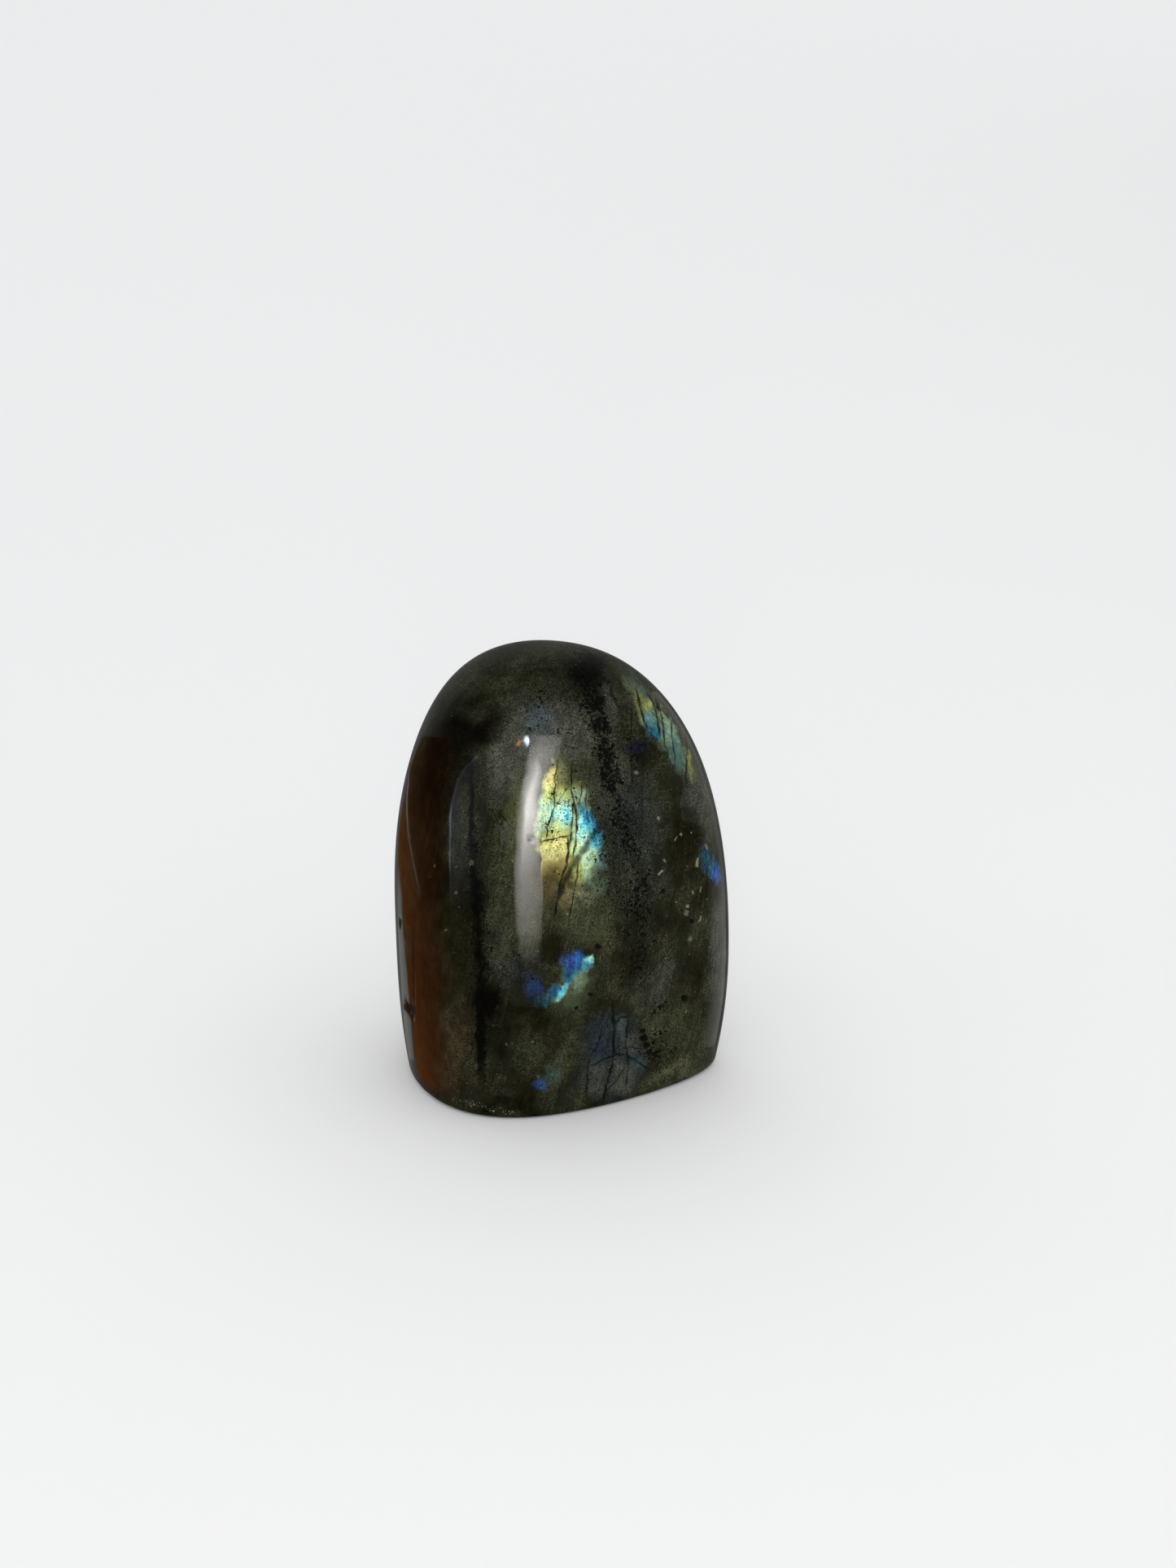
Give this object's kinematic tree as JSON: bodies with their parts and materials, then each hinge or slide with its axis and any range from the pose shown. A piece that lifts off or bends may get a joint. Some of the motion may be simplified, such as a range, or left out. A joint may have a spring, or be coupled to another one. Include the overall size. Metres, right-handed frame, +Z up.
{
  "type": "labradorite sculpture",
  "caption": "Palm-sized polished free-form of dark feldspar: a tall rounded arch, blunt at one end and narrow at the other, cut flat underneath so that it stands.",
  "frame": {"origin": "centre of the bounding box's underside, on the flat base", "axes": "+Z up through the crown, front towards -Y, the narrow end towards +X"},
  "size_m": [0.0292, 0.0208, 0.0395],
  "materials": {
    "labradorite": "polished"
  },
  "bodies": {
    "root": {"labradorite_stone": "labradorite"}
  },
  "joints": []
}
